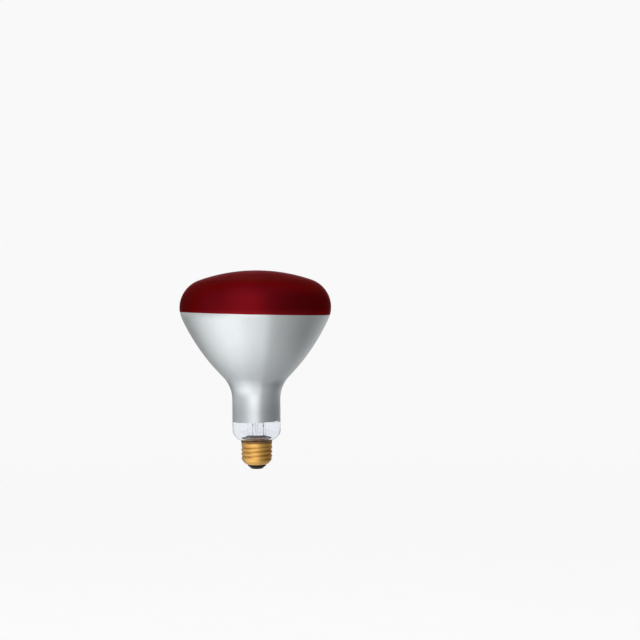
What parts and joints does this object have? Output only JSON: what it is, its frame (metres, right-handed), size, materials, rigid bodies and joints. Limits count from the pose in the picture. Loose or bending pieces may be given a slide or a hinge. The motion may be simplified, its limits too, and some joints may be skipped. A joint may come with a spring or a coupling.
{
  "type": "infrared heat lamp bulb",
  "caption": "Domed reflector heat lamp with a red face, silvered sides, clear lower neck and screw base.",
  "frame": {"origin": "centre of the flat land on the bottom contact", "axes": "+Z along the lamp from its base to its red face; +X to the right in the picture's view, with the seal leads in the XZ plane; +Y away from the viewer"},
  "size_m": [0.127, 0.127, 0.167],
  "materials": {
    "clear_glass": "clear, polished",
    "red_coat": "deep red, glossy, nearly opaque",
    "mirror_film": "satin silver, seen through glass",
    "nickel_wire": "drawn nickel wire",
    "copper_clad_wire": "copper-clad seal wire, dull",
    "molybdenum_wire": "grey drawn wire",
    "tungsten": "dark grey coil",
    "fuse_wire": "thin drawn wire",
    "brass": "bright rolled brass",
    "black_glass": "black vitrified insulator, glossy",
    "contact_brass": "stamped eyelet",
    "solder": "grey solder, slightly rough",
    "cement": "matt brown-grey basing cement"
  },
  "bodies": {
    "root": {"glass_bowl": "clear_glass", "glass_shoulder": "clear_glass", "glass_neck": "clear_glass", "red_face_coat": "red_coat", "reflector_film": "mirror_film", "stem_flare": "clear_glass", "stem_pinch": "clear_glass", "exhaust_tube": "clear_glass", "support_rod": "clear_glass", "seal_wire_left": "copper_clad_wire", "seal_wire_right": "copper_clad_wire", "inner_lead_left": "nickel_wire", "inner_lead_right": "nickel_wire", "support_wire_1": "molybdenum_wire", "support_wire_2": "molybdenum_wire", "support_wire_3": "molybdenum_wire", "support_wire_4": "molybdenum_wire", "support_wire_5": "molybdenum_wire", "filament_coil": "tungsten", "outer_lead_centre_upper": "nickel_wire", "lead_fuse": "fuse_wire", "outer_lead_centre_lower": "nickel_wire", "outer_lead_side": "nickel_wire", "screw_shell": "brass", "base_insulator": "black_glass", "centre_contact": "contact_brass", "centre_solder": "solder", "side_solder": "solder", "base_cement": "cement"}
  },
  "joints": []
}
